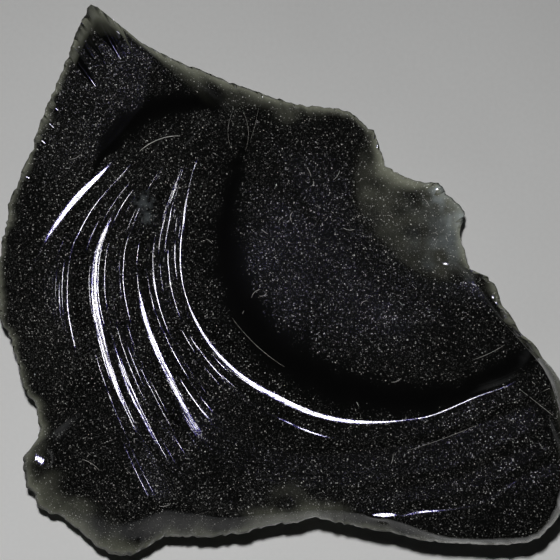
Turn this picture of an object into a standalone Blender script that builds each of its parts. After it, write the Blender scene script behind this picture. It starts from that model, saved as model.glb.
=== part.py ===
"""Obsidian chunk: one broken flake of volcanic glass, lying on its underside.

+X is the long way of the stone, +Y runs to its pointed corner and +Z is up. The
origin is under the middle of the stone, on the plane that it rests on.

The upper face is a height field on a polar grid round the middle of its hollow.
A ring-shaped rim half surrounds the hollow, shock ripples fan out beyond the rim,
and a flake scar bites into the right edge. The underside is a few flat fractures
that rise from the resting facet to the edge.
"""

import bpy
import numpy as np

MM = 0.001

# --- Driving dimensions, in millimetres and degrees ---------------------------

# The broken edge in plan, clockwise from the pointed corner.
OUTLINE = (
    (-24.3, 34.9), (-23.6, 34.7), (-18.4, 30.5), (-16.8, 29.5), (-12.7, 27.5),
    (-10.5, 26.7), (-6.4, 25.0), (-2.7, 23.7), (1.6, 22.4), (8.1, 21.6),
    (9.2, 20.9), (10.9, 19.2), (11.7, 19.0), (11.9, 18.0), (12.5, 16.8),
    (12.8, 15.5), (13.2, 14.5), (15.5, 13.1), (16.8, 12.6), (18.4, 12.3),
    (19.8, 12.3), (22.9, 9.1), (23.3, 8.4), (22.5, 5.7), (23.7, 1.3),
    (26.0, 0.3), (26.2, -0.2), (26.9, -0.6), (27.5, -3.2),
    (28.5, -4.3), (30.0, -6.9), (31.6, -8.1), (32.6, -9.9), (33.5, -10.8),
    (34.6, -12.4), (35.6, -15.1), (35.9, -18.8), (35.9, -20.8), (35.5, -24.8),
    (34.7, -28.9), (33.0, -31.4), (31.9, -32.2), (30.6, -32.7), (27.4, -33.1),
    (17.7, -32.7), (13.5, -31.5), (12.2, -31.4), (7.2, -30.5), (4.2, -29.8),
    (3.0, -29.9), (1.7, -30.5), (-1.5, -30.8), (-4.9, -31.9), (-9.2, -32.4),
    (-14.9, -32.4), (-16.1, -33.2), (-19.2, -34.9), (-21.4, -34.8), (-22.5, -34.4),
    (-23.6, -33.7), (-25.5, -32.0), (-28.2, -29.8), (-29.4, -29.7), (-30.3, -29.3),
    (-31.0, -28.6), (-31.5, -27.3), (-32.4, -26.3), (-32.9, -23.3), (-32.8, -22.4),
    (-32.0, -21.6), (-31.0, -20.1), (-30.8, -19.1), (-30.9, -17.8), (-31.2, -16.2),
    (-32.4, -14.4), (-33.1, -12.8), (-33.5, -10.5), (-34.1, -8.9), (-34.3, -7.7),
    (-35.8, -4.9), (-35.9, 1.2), (-35.6, 4.6), (-35.0, 6.7), (-34.8, 9.6),
    (-34.3, 10.8), (-33.3, 12.6), (-32.9, 14.2), (-32.0, 16.2), (-30.4, 21.0),
    (-28.4, 25.5), (-26.6, 30.1), (-26.1, 31.6), (-24.9, 34.5),
)

# Height of the broken edge above the ground, by bearing from the hollow's middle.
EDGE_HEIGHT = (
    (0, 4.4), (15, 4.1), (40, 3.9), (70, 3.8), (95, 3.8), (115, 3.7), (132, 3.6),
    (150, 3.6), (170, 4.6), (190, 5.4), (205, 5.4), (216, 4.8), (224, 4.4),
    (232, 4.8), (240, 6.0), (250, 7.6), (262, 8.4), (275, 9.0), (290, 9.6),
    (310, 9.8), (325, 8.8), (340, 6.9), (350, 5.2),
)

# The hollow: middle, height there, and the slope of its floor along X and Y.
HOLLOW = (5.8, 6.2)
FLOOR_HEIGHT = 6.6
FLOOR_SLOPE = (-0.052, -0.1055)
WALL_POWER = 4.0

# Radius of the rim, by bearing. From 340 round to 140 degrees the hollow is open.
RIM = (
    (0, 21.5), (20, 16.4), (60, 13.8), (90, 13.8), (120, 16.4), (150, 18.9),
    (165, 18.4), (178, 18.4), (188, 18.9), (198, 19.4), (208, 19.8), (222, 20.3),
    (237, 20.8), (253, 21.4), (266, 22.6), (279, 23.8), (291, 25.1), (298, 26.1),
    (305, 26.6), (312, 27.4), (320, 29.5), (327, 31.0), (335, 33.0), (350, 23.9),
)
OPENNESS = ((90, 1), (126, 1), (140, 0.4), (150, 0), (325, 0), (340, 0.5), (355, 1))
RIM_ROUNDING = 0.06

# The field beyond the rim is a shallow dish on a tilted plane, which sinks at SINK per
# millimetre across the fan of ripples, and at some bearings more.
FIELD_HEIGHT = 9.8
FIELD_SLOPE = (0.048, -0.0755)
DISH_RADIUS = 300.0
SINK = 0.17
SINK_SHARE = ((0, 1.5), (150, 1), (238, 1), (253, 2.0), (272, 1.8), (288, 1.5), (340, 1.5))

# The ripples fan out: how far apart they run, by bearing.
FAN = (
    (120, 1.0), (135, 0.6), (145, 0.42), (155, 0.44), (165, 0.57), (175, 0.78),
    (185, 0.94), (195, 1.0), (205, 1.03), (215, 1.11), (225, 1.22), (235, 1.43),
    (245, 1.7), (255, 1.8), (270, 1.5), (285, 1.2), (340, 1.2),
)

# On its open side the floor falls a little towards the edge.
OPEN_FALL = ((0, 0.01), (45, 0.03), (70, 0.05), (100, 0.07), (135, 0.08), (165, 0.08),
             (180, 0.05), (340, 0))
OPEN_FALL_START = 9.0
OPEN_FALL_ROUNDING = 3.0

# Shock ripples, from the rim outwards. First the ripple's level in the fan, then rows:
# bearing, how far out in the fan, how level its crest is, and half the crest's width.
RIPPLES = (
    (0.4, (192, -0.4, 0, 0.3), (215, 0.35, 0.6, 0.4), (253, 0.5, 1, 0.6),
     (279, 0.5, 1, 0.6), (291, 0.6, 0.9, 0.4), (327, 0.3, 0.6, 0.3), (335, 0.3, 0.1, 0.3)),
    (5.6, (180, 5.4, 0, 0.3), (196, 5.4, 0.9, 0.5), (214, 5.5, 1, 0.7),
     (230, 6.0, 1, 0.6), (244, 6.0, 0.4, 0.4), (252, 6.0, 0, 0.3)),
    (11.1, (155, 11.2, 0, 0.3), (171, 11.2, 0.8, 0.4), (184, 11.0, 1, 0.6),
     (211, 11.3, 1, 0.6), (226, 11.1, 0.9, 0.5), (243, 10.9, 0.1, 0.3),
     (280, 12.4, 0, 0.3)),
    (14.8, (148, 14.2, 0.2, 0.2), (169, 15.0, 1, 0.4), (183, 14.8, 0.8, 0.4),
     (203, 14.3, 0.8, 0.4), (224, 14.8, 0.8, 0.4), (242, 14.8, 0.1, 0.3)),
    (18.8, (145, 18.2, 0.3, 0.2), (162, 18.8, 0.9, 0.4), (173, 18.6, 1, 0.7),
     (187, 19.5, 1, 0.5), (197, 20.0, 0, 0.3), (215, 19.0, 0, 0.3)),
    (22.0, (140, 22.5, 0.8, 0.2), (155, 22.5, 0.75, 0.2), (165, 22.5, 0.65, 0.2),
     (176, 22.5, 0.3, 0.3), (188, 22.5, 0, 0.3), (300, 22.5, 0, 0.3)),
)

# A crest is crowned by this slope at its sides, and takes up at most this share of the
# way to its neighbours. Beyond it the ground bends down over a length: so much, and so
# much more per half width.
CROWN = 0.02
CREST_SHARE = 0.35
BEND = (0.3, 1.0)

# Towards the edge the upper face falls to the edge height: where the fall starts,
# as a share of the way out, and how sharply it turns down.
FALL_START = (
    (0, 0.75), (40, 0.65), (90, 0.62), (132, 0.66), (150, 0.70), (175, 0.88),
    (195, 0.87), (208, 0.80), (222, 0.74), (232, 0.80), (242, 0.90), (252, 0.95),
    (262, 0.97), (270, 0.96), (281, 0.965), (290, 0.99), (328, 0.99), (342, 0.97),
)
FALL_POWER = ((0, 1.6), (90, 1.8), (132, 1.8), (170, 1.6), (200, 1.7), (232, 1.8),
              (255, 2.0), (270, 1.5), (285, 1.1), (300, 1.0), (330, 1.2))

# The flake scar in the right edge: a shallow dish.
SCAR = (20.3, 11.5)
SCAR_DEPTH = 1.1
SCAR_RADIUS = ((0, 11.3), (90, 11.3), (170, 11.6), (200, 10.6), (220, 10.1),
               (240, 10.6), (260, 11.6), (290, 12.1))

# The underside has two rings of fracture facets round the resting facet. Each ring
# is a polygon: the bearing that a side faces and its distance from REST. The outer
# ring, the shoulder, stands at this share of the edge height.
REST = (0.0, -7.5)
REST_SIDES = ((8, 14.5), (64, 13.0), (122, 14.5), (184, 15.0), (238, 13.0), (292, 11.0))
SHOULDER_SIDES = (
    (34, 20.5), (92, 21.0), (136, 32.0), (166, 25.5), (212, 24.5), (262, 17.0),
    (306, 23.0), (350, 23.5),
)
SHOULDER_SHARE = 0.40
SHOULDER_LIMIT = 0.86
FACET_HOLLOW = 0.05

# The grid: the longest stretch of edge between two spokes, and the rows of points
# over the hollow, the field and the underside, as shares of the way out.
SPOKE_SPACING = 2.1
HOLLOW_ROWS = (0.25, 0.5, 0.7, 0.85, 0.95)
FIELD_ROWS = 17
FACET_ROWS = 4
RIM_LIMIT = 0.86
EDGE_GRIP = 8
CALM_SHARE = 36


def clear_scene():
    for thing in list(bpy.data.objects):
        bpy.data.objects.remove(thing, do_unlink=True)


def around(table, bearing, spread=6.0):
    """A value that changes with bearing, read from a table whose corners are rounded."""
    rows = np.array(table, float)
    step = 0.5
    turn = np.arange(0.0, 360.0, step)
    line = np.interp(turn, rows[:, 0], rows[:, 1], period=360)
    half = int(spread / step)
    weight = np.hanning(2 * half + 3)[1:-1]
    ring = np.concatenate([line[-half:], line, line[:half]])
    line = np.convolve(ring, weight / weight.sum(), "valid")
    return np.interp(bearing, turn, line, period=360)


def flowing(at, knots, values):
    """A smooth line through the knots: on each stretch the cubic whose ends have the
    mean slopes of their neighbours. Beyond the ends it keeps the end value."""
    slopes = np.gradient(values, knots)
    at = np.clip(at, knots[0], knots[-1])
    i = np.clip(np.searchsorted(knots, at) - 1, 0, len(knots) - 2)
    span = knots[i + 1] - knots[i]
    t = (at - knots[i]) / span
    start = values[i] * (1 + 2 * t) * (1 - t) ** 2 + slopes[i] * span * t * (1 - t) ** 2
    end = values[i + 1] * t**2 * (3 - 2 * t) - slopes[i + 1] * span * t**2 * (1 - t)
    return start + end


def softly(value, rounding):
    """The positive part of a value, its corner rounded over the given length."""
    return rounding * np.logaddexp(0, value / rounding)


def slope_plane(height, slope, dx, dy):
    return height + slope[0] * dx + slope[1] * dy


def terraces(out, bearing, fan):
    """A flight of low terraces that follow the ripples. A crest is a crowned tread at the
    ripple's own level, so it keeps the slope of the ground all along the ripple. Between
    two crests the ground falls evenly, with a bend next to each crest over which the
    slope changes with the square of the distance."""
    level = [-SINK * ripple[0] for ripple in RIPPLES]
    rows = [np.array(ripple[1:], float) for ripple in RIPPLES]
    place = [flowing(bearing, row[:, 0], row[:, 1]) for row in rows]
    tilt = [-SINK * (1 - np.clip(flowing(bearing, row[:, 0], row[:, 2]), 0, 1))
            for row in rows]
    wide = [np.interp(bearing, row[:, 0], row[:, 3]) / fan for row in rows]
    gaps = [place[1] - place[0]] + [b - a for a, b in zip(place, place[1:])]
    gaps.append(gaps[-1])
    half = [np.minimum(w, CREST_SHARE * np.minimum(before, after))
            for w, before, after in zip(wide, gaps, gaps[1:])]
    crown = CROWN * fan

    past = out - place[0]
    height = level[0] + tilt[0] * past
    for i in range(len(rows) - 1):
        past, ahead = out - place[i], out - place[i + 1]
        tread = level[i] + tilt[i] * past - crown * past**2 / (2 * half[i])
        height = np.where(past > -half[i], tread, height)
        span = gaps[i + 1] - half[i] - half[i + 1]
        start = level[i] + (tilt[i] - crown / 2) * half[i]
        end = level[i + 1] - (tilt[i + 1] + crown / 2) * half[i + 1]
        bend = [np.minimum(BEND[0] / fan + BEND[1] * half[j], span / 2) for j in (i, i + 1)]
        turned = (tilt[i] - crown) * bend[0] / 3 + (tilt[i + 1] + crown) * bend[1] / 3
        slope = (end - start - turned) / (span - bend[0] / 3 - bend[1] / 3)
        after = np.clip(1 - (past - half[i]) / bend[0], 0, 1)
        before = np.clip(1 + (ahead + half[i + 1]) / bend[1], 0, 1)
        fall = start + slope * (past - half[i])
        fall = fall + (tilt[i] - crown - slope) * bend[0] / 3 * (1 - after**3)
        fall = fall + (tilt[i + 1] + crown - slope) * bend[1] / 3 * before**3
        height = np.where(past > half[i], fall, height)
    height = np.where(ahead > -half[-1], level[-1] + tilt[-1] * ahead, height)
    return height * around(SINK_SHARE, bearing)


def field_height(dx, dy, radius, bearing, rim):
    """The rippled field: a tilted dish with the terraces on it."""
    fan = around(FAN, bearing)
    height = slope_plane(FIELD_HEIGHT, FIELD_SLOPE, dx, dy)
    height = height + (radius**2 - rim**2) / (2 * DISH_RADIUS)
    return height + terraces((radius - rim) / fan, bearing, fan)


def hollow_height(dx, dy, radius, bearing, rim):
    """The hollow's floor, with a wall that steepens up to the rim."""
    floor = slope_plane(FLOOR_HEIGHT, FLOOR_SLOPE, dx, dy)
    share = rim / np.maximum(radius, 1e-6)
    rim_top = slope_plane(FIELD_HEIGHT, FIELD_SLOPE, dx * share, dy * share)
    rim_floor = slope_plane(FLOOR_HEIGHT, FLOOR_SLOPE, dx * share, dy * share)
    wall = np.maximum(rim_top - rim_floor, 0.05)
    return floor, floor + wall * (radius / rim) ** WALL_POWER


def upper_height(x, y):
    """Height of the upper face before it falls to the edge."""
    dx, dy = x - HOLLOW[0], y - HOLLOW[1]
    radius = np.hypot(dx, dy)
    bearing = np.degrees(np.arctan2(dy, dx)) % 360
    rim = around(RIM, bearing)
    field = field_height(dx, dy, radius, bearing, rim)
    floor, hollow = hollow_height(dx, dy, radius, bearing, rim)
    closed = field - softly(field - hollow, RIM_ROUNDING)
    fall = around(OPEN_FALL, bearing) * softly(radius - OPEN_FALL_START, OPEN_FALL_ROUNDING)
    openness = around(OPENNESS, bearing)
    return closed + (floor - fall - closed) * openness


def scar_depth(x, y):
    """How deep the flake scar bites at a point."""
    dx, dy = x - SCAR[0], y - SCAR[1]
    bearing = np.degrees(np.arctan2(dy, dx)) % 360
    share = np.hypot(dx, dy) / around(SCAR_RADIUS, bearing, 10)
    return SCAR_DEPTH * np.clip(1 - share**2, 0, 1)


def top_height(x, y, share, edge):
    """The finished upper face. share is 0 in the middle and 1 on the edge."""
    bearing = np.degrees(np.arctan2(y - HOLLOW[1], x - HOLLOW[0])) % 360
    start = around(FALL_START, bearing)
    fall = np.clip((share - start) / (1 - start), 0, 1) ** around(FALL_POWER, bearing)
    brim = upper_height(edge[:, 0], edge[:, 1]) - scar_depth(edge[:, 0], edge[:, 1])
    body = upper_height(x, y) - scar_depth(x, y)
    return body - (brim - edge[:, 2]) * fall


def edge_points():
    """The outline, anticlockwise, with its long stretches divided, and each height."""
    corners = np.array(OUTLINE)[::-1]
    points = []
    for start, end in zip(corners, np.roll(corners, -1, axis=0)):
        parts = int(np.ceil(np.hypot(*(end - start)) / SPOKE_SPACING))
        points.extend(start + (end - start) * i / parts for i in range(parts))
    points = np.array(points)
    bearing = np.degrees(np.arctan2(points[:, 1] - HOLLOW[1], points[:, 0] - HOLLOW[0]))
    return np.column_stack([points, around(EDGE_HEIGHT, bearing % 360)])


def calmed(values):
    """A ring of values, each the weighted mean of its neighbours."""
    half = len(values) // CALM_SHARE
    weight = np.hanning(2 * half + 3)[1:-1]
    ring = np.concatenate([values[-half:], values, values[:half]])
    return np.convolve(ring, weight / weight.sum(), "valid")


def least_near(values):
    """A ring of values, each the least of its neighbours."""
    half = len(values) // CALM_SHARE
    return np.min([np.roll(values, shift) for shift in range(-half, half + 1)], axis=0)


def spokes(edge, middle, out):
    """Bearing and length of the spokes: calm inside, true to the edge at out = 1."""
    reach = edge[:, :2] - middle
    bearing = np.unwrap(np.arctan2(reach[:, 1], reach[:, 0]))
    length = np.hypot(reach[:, 0], reach[:, 1])
    even = np.linspace(0, 2 * np.pi, len(edge), endpoint=False)
    calm_bearing = calmed(bearing - even) + even
    calm_length = calmed(least_near(length))
    grip = out**EDGE_GRIP
    turn = calm_bearing + (bearing - calm_bearing) * grip
    return turn, calm_length + (length - calm_length) * grip


def upper_row(edge, inside, out):
    """A row of the upper face: inside runs from the middle to the rim, out from there."""
    turn, length = spokes(edge, HOLLOW, out)
    rim = np.minimum(around(RIM, np.degrees(turn) % 360), RIM_LIMIT * length)
    radius = rim * inside + (length - rim) * out
    x = HOLLOW[0] + radius * np.cos(turn)
    y = HOLLOW[1] + radius * np.sin(turn)
    return np.column_stack([x, y, top_height(x, y, radius / length, edge)])


def polygon_radius(sides, turn):
    """Distance to the boundary of a convex polygon, along a bearing in radians."""
    rows = np.array(sides, float)
    facing = np.cos(turn[:, None] - np.radians(rows[:, 0]))
    return np.min(np.where(facing > 0.05, rows[:, 1] / np.maximum(facing, 0.05), 1e3), axis=1)


def under_row(edge, step):
    """A row of the underside: step runs from the resting facet at 0 and the shoulder
    at 1 to the edge at 2."""
    turn, length = spokes(edge, REST, step / 2)
    rest = polygon_radius(REST_SIDES, turn)
    shoulder = np.minimum(polygon_radius(SHOULDER_SIDES, turn), SHOULDER_LIMIT * length)
    part = step % 1 if step < 2 else 1.0
    near, far = (rest, shoulder) if step < 1 else (shoulder, length)
    low, high = (0, SHOULDER_SHARE) if step < 1 else (SHOULDER_SHARE, 1)
    radius = near + (far - near) * part
    height = edge[:, 2] * (low + (high - low) * part)
    height = height + FACET_HOLLOW * (far - near) * 4 * part * (1 - part)
    x = REST[0] + radius * np.cos(turn)
    y = REST[1] + radius * np.sin(turn)
    return np.column_stack([x, y, height])


def joined_rows(rows):
    """Faces between rings of points, with a fan of faces at each end."""
    count = len(rows[1])
    here = np.arange(count)
    after = (here + 1) % count
    faces = [(0, 1 + a, 1 + b) for a, b in zip(here, after)]
    for start in range(1, 1 + (len(rows) - 3) * count, count):
        faces += [
            (start + a, start + count + a, start + count + b, start + b)
            for a, b in zip(here, after)
        ]
    last = 1 + (len(rows) - 3) * count
    faces += [(last + a, last + count, last + b) for a, b in zip(here, after)]
    return faces


def stone_mesh():
    """Rows of points from the middle of the top out to the edge and in again below."""
    edge = edge_points()
    rows = [np.array([[*HOLLOW, FLOOR_HEIGHT]])]
    rows += [upper_row(edge, inside, 0.0) for inside in HOLLOW_ROWS]
    rows += [upper_row(edge, 1.0, out) for out in np.arange(FIELD_ROWS) / FIELD_ROWS]
    rows += [edge]
    rows += [under_row(edge, step / FACET_ROWS) for step in range(2 * FACET_ROWS - 1, -1, -1)]
    rows += [np.array([[*REST, 0.0]])]
    mesh = bpy.data.meshes.new("obsidian_chunk")
    mesh.from_pydata((np.concatenate(rows) * MM).tolist(), [], joined_rows(rows))
    mesh.validate()
    return mesh


def obsidian():
    """Black volcanic glass."""
    material = bpy.data.materials.new("obsidian")
    material.use_nodes = True
    shader = material.node_tree.nodes["Principled BSDF"]
    shader.inputs["Base Color"].default_value = (0.012, 0.012, 0.011, 1.0)
    shader.inputs["Roughness"].default_value = 0.15
    shader.inputs["IOR"].default_value = 1.49
    return material


def build():
    clear_scene()
    stone = bpy.data.objects.new("obsidian_chunk", stone_mesh())
    bpy.context.scene.collection.objects.link(stone)
    stone.data.materials.append(obsidian())


build()
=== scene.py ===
"""Obsidian chunk, dressed: one broken flake of volcanic glass under a small hard flash.

+X is the long way of the stone, +Y runs to its pointed corner and +Z is up. The origin
is under the middle of the stone, on the plane that it rests on. The tables of the shape
are in millimetres and degrees, and each mesh is in metres.

The stone is one closed surface on a polar grid. Above, the grid's middle is the middle
of the hollow; a ring-shaped rim half surrounds the hollow, shock ripples fan out beyond
the rim, and a flake scar bites into the right edge. Below, flat fractures rise from the
resting facet to the edge.
"""

import bpy
import numpy as np
from bpy.props import FloatProperty, FloatVectorProperty, IntProperty, PointerProperty
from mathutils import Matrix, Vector


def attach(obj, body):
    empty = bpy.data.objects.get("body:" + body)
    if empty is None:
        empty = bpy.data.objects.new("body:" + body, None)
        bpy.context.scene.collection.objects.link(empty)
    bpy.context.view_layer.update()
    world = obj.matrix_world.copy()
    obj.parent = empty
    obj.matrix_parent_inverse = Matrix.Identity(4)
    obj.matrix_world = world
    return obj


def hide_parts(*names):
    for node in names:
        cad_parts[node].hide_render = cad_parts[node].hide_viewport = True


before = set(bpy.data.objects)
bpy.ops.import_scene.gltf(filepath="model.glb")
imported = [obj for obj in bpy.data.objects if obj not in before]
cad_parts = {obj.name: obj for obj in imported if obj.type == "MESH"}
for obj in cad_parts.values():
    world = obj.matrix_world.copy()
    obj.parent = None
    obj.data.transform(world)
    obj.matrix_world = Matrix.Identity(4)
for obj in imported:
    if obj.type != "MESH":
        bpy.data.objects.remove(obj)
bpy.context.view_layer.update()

bl_info = {
    "name": "Obsidian Chunk",
    "version": (1, 0, 0),
    "blender": (4, 5, 0),
    "location": "View3D > Sidebar > Obsidian",
    "description": "Builds a broken chunk of obsidian, its dust and a plain stage",
    "category": "Add Mesh",
}

MM = 0.001

# --- The shape, in millimetres and degrees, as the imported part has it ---

# The broken edge in plan, clockwise from the pointed corner.
OUTLINE = (
    (-24.3, 34.9), (-23.6, 34.7), (-18.4, 30.5), (-16.8, 29.5), (-12.7, 27.5),
    (-10.5, 26.7), (-6.4, 25.0), (-2.7, 23.7), (1.6, 22.4), (8.1, 21.6),
    (9.2, 20.9), (10.9, 19.2), (11.7, 19.0), (11.9, 18.0), (12.5, 16.8),
    (12.8, 15.5), (13.2, 14.5), (15.5, 13.1), (16.8, 12.6), (18.4, 12.3),
    (19.8, 12.3), (22.9, 9.1), (23.3, 8.4), (22.5, 5.7), (23.7, 1.3),
    (26.0, 0.3), (26.2, -0.2), (26.9, -0.6), (27.5, -3.2),
    (28.5, -4.3), (30.0, -6.9), (31.6, -8.1), (32.6, -9.9), (33.5, -10.8),
    (34.6, -12.4), (35.6, -15.1), (35.9, -18.8), (35.9, -20.8), (35.5, -24.8),
    (34.7, -28.9), (33.0, -31.4), (31.9, -32.2), (30.6, -32.7), (27.4, -33.1),
    (17.7, -32.7), (13.5, -31.5), (12.2, -31.4), (7.2, -30.5), (4.2, -29.8),
    (3.0, -29.9), (1.7, -30.5), (-1.5, -30.8), (-4.9, -31.9), (-9.2, -32.4),
    (-14.9, -32.4), (-16.1, -33.2), (-19.2, -34.9), (-21.4, -34.8), (-22.5, -34.4),
    (-23.6, -33.7), (-25.5, -32.0), (-28.2, -29.8), (-29.4, -29.7), (-30.3, -29.3),
    (-31.0, -28.6), (-31.5, -27.3), (-32.4, -26.3), (-32.9, -23.3), (-32.8, -22.4),
    (-32.0, -21.6), (-31.0, -20.1), (-30.8, -19.1), (-30.9, -17.8), (-31.2, -16.2),
    (-32.4, -14.4), (-33.1, -12.8), (-33.5, -10.5), (-34.1, -8.9), (-34.3, -7.7),
    (-35.8, -4.9), (-35.9, 1.2), (-35.6, 4.6), (-35.0, 6.7), (-34.8, 9.6),
    (-34.3, 10.8), (-33.3, 12.6), (-32.9, 14.2), (-32.0, 16.2), (-30.4, 21.0),
    (-28.4, 25.5), (-26.6, 30.1), (-26.1, 31.6), (-24.9, 34.5),
)

# Height of the broken edge above the ground, by bearing from the hollow's middle.
EDGE_HEIGHT = (
    (0, 4.4), (15, 4.1), (40, 3.9), (70, 3.8), (95, 3.8), (115, 3.7), (132, 3.6),
    (150, 3.6), (170, 4.6), (190, 5.4), (205, 5.4), (216, 4.8), (224, 4.4),
    (232, 4.8), (240, 6.0), (250, 7.6), (262, 8.4), (275, 9.0), (290, 9.6),
    (310, 9.8), (325, 8.8), (340, 6.9), (350, 5.2),
)

# The hollow: middle, height there, and the slope of its floor along X and Y.
HOLLOW = (5.8, 6.2)
FLOOR_HEIGHT = 6.6
FLOOR_SLOPE = (-0.052, -0.1055)
WALL_POWER = 4.0

# Radius of the rim, by bearing. From 340 round to 140 degrees the hollow is open.
RIM = (
    (0, 21.5), (20, 16.4), (60, 13.8), (90, 13.8), (120, 16.4), (150, 18.9),
    (165, 18.4), (178, 18.4), (188, 18.9), (198, 19.4), (208, 19.8), (222, 20.3),
    (237, 20.8), (253, 21.4), (266, 22.6), (279, 23.8), (291, 25.1), (298, 26.1),
    (305, 26.6), (312, 27.4), (320, 29.5), (327, 31.0), (335, 33.0), (350, 23.9),
)
OPENNESS = ((90, 1), (126, 1), (140, 0.4), (150, 0), (325, 0), (340, 0.5), (355, 1))
RIM_ROUNDING = 0.02

# The field beyond the rim is a shallow dish on a tilted plane, which sinks at SINK per
# millimetre across the fan of ripples, and at some bearings more.
FIELD_HEIGHT = 9.8
FIELD_SLOPE = (0.048, -0.0755)
DISH_RADIUS = 300.0
SINK = 0.17
SINK_SHARE = ((0, 1.5), (150, 1), (238, 1), (253, 2.0), (272, 1.8), (288, 1.5), (340, 1.5))

# The ripples fan out: how far apart they run, by bearing.
FAN = (
    (120, 1.0), (135, 0.6), (145, 0.42), (155, 0.44), (165, 0.57), (175, 0.78),
    (185, 0.94), (195, 1.0), (205, 1.03), (215, 1.11), (225, 1.22), (235, 1.43),
    (245, 1.7), (255, 1.8), (270, 1.5), (285, 1.2), (340, 1.2),
)

# On its open side the floor falls a little towards the edge.
OPEN_FALL = ((0, 0.01), (45, 0.03), (70, 0.05), (100, 0.07), (135, 0.08), (165, 0.08),
             (180, 0.05), (340, 0))
OPEN_FALL_START = 9.0
OPEN_FALL_ROUNDING = 3.0

# Towards the edge the upper face falls to the edge height: where the fall starts,
# as a share of the way out, and how sharply it turns down.
FALL_START = (
    (0, 0.75), (40, 0.65), (90, 0.62), (132, 0.66), (150, 0.70), (175, 0.88),
    (195, 0.87), (208, 0.80), (222, 0.74), (232, 0.80), (242, 0.90), (252, 0.95),
    (262, 0.97), (270, 0.96), (281, 0.965), (290, 0.99), (328, 0.99), (342, 0.97),
)
FALL_POWER = ((0, 1.6), (90, 1.8), (132, 1.8), (170, 1.6), (200, 1.7), (232, 1.8),
              (255, 2.0), (270, 1.5), (285, 1.1), (300, 1.0), (330, 1.2))

# The flake scar in the right edge: a shallow dish.
SCAR = (20.3, 11.5)
SCAR_DEPTH = 1.1
SCAR_RADIUS = ((0, 11.3), (90, 11.3), (170, 11.6), (200, 10.6), (220, 10.1),
               (240, 10.6), (260, 11.6), (290, 12.1))

# The underside has two rings of fracture facets round the resting facet. Each ring
# is a polygon: the bearing that a side faces and its distance from REST. The outer
# ring, the shoulder, stands at this share of the edge height.
REST = (0.0, -7.5)
REST_SIDES = ((8, 14.5), (64, 13.0), (122, 14.5), (184, 15.0), (238, 13.0), (292, 11.0))
SHOULDER_SIDES = (
    (34, 20.5), (92, 21.0), (136, 32.0), (166, 25.5), (212, 24.5), (262, 17.0),
    (306, 23.0), (350, 23.5),
)
SHOULDER_SHARE = 0.40
# Each facet is hollow by this share of its width.
FACET_HOLLOW = 0.05

# The rim and the shoulder stay within this share of the way to the edge.
INNER_LIMIT = 0.86
# The two middles of the surface count as this far in from the edge.
FAR_INSIDE = 30.0
# The powers of the way out with which the ragged edge takes hold of the spokes, and of
# the heights along them.
EDGE_GRIP = 24
BRIM_GRIP = 80
# A ring of values is evened out, to each side, over the number of spokes divided by this.
CALM_SHARE = 70

# --- The fine relief that only the dressed stone has ---

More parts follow.
